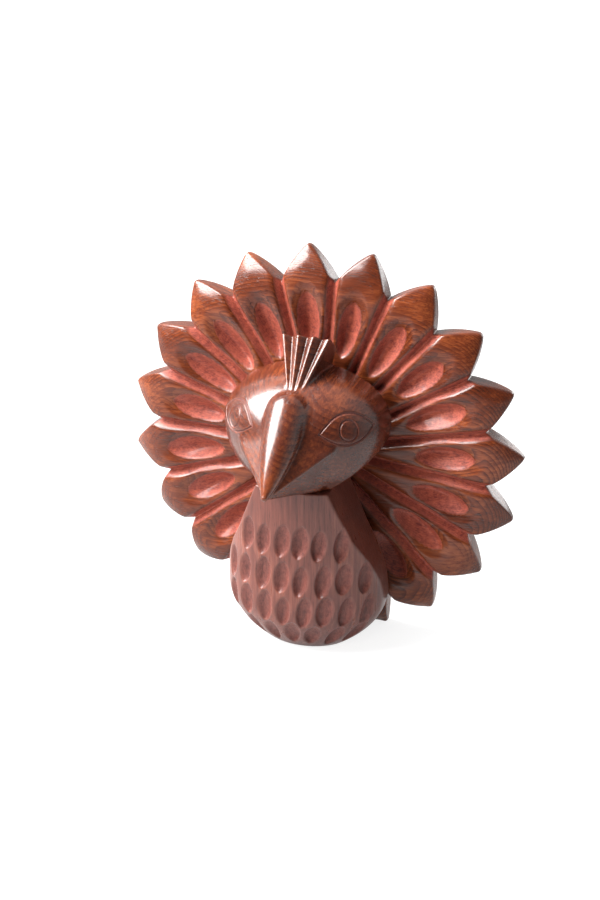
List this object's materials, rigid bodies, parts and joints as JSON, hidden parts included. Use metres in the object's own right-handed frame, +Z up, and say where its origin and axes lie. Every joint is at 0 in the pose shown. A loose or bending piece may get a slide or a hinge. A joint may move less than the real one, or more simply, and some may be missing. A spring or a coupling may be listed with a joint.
{
  "type": "eyeglasses display stand",
  "caption": "Carved wooden turkey stand for a pair of eyeglasses: round tail fan, dimpled breast, and a head whose beak carries the nose bridge.",
  "frame": {"origin": "on the surface the stand rests on, under the middle of its bounding box", "axes": "+X to the bird's left (viewer's right), +Y to the back, -Y the way the beak points, +Z up"},
  "size_m": [0.1248, 0.0581, 0.1217],
  "materials": {
    "fan_wood": "carved reddish-brown hardwood, wax polished",
    "spacer_wood": "sawn reddish-brown hardwood",
    "breast_wood": "carved dark reddish-brown hardwood, wax polished",
    "head_wood": "carved reddish-brown hardwood, wax polished",
    "dowel_wood": "plain birch dowel, glued",
    "screw_brass": "plain brass wood screw"
  },
  "bodies": {
    "root": {"tail_fan": "fan_wood", "spacer_block": "spacer_wood", "breast": "breast_wood", "head": "head_wood", "neck_dowel": "dowel_wood", "upper_body_dowel": "dowel_wood", "lower_body_dowel": "dowel_wood", "upper_fan_screw": "screw_brass", "lower_fan_screw": "screw_brass"}
  },
  "joints": []
}
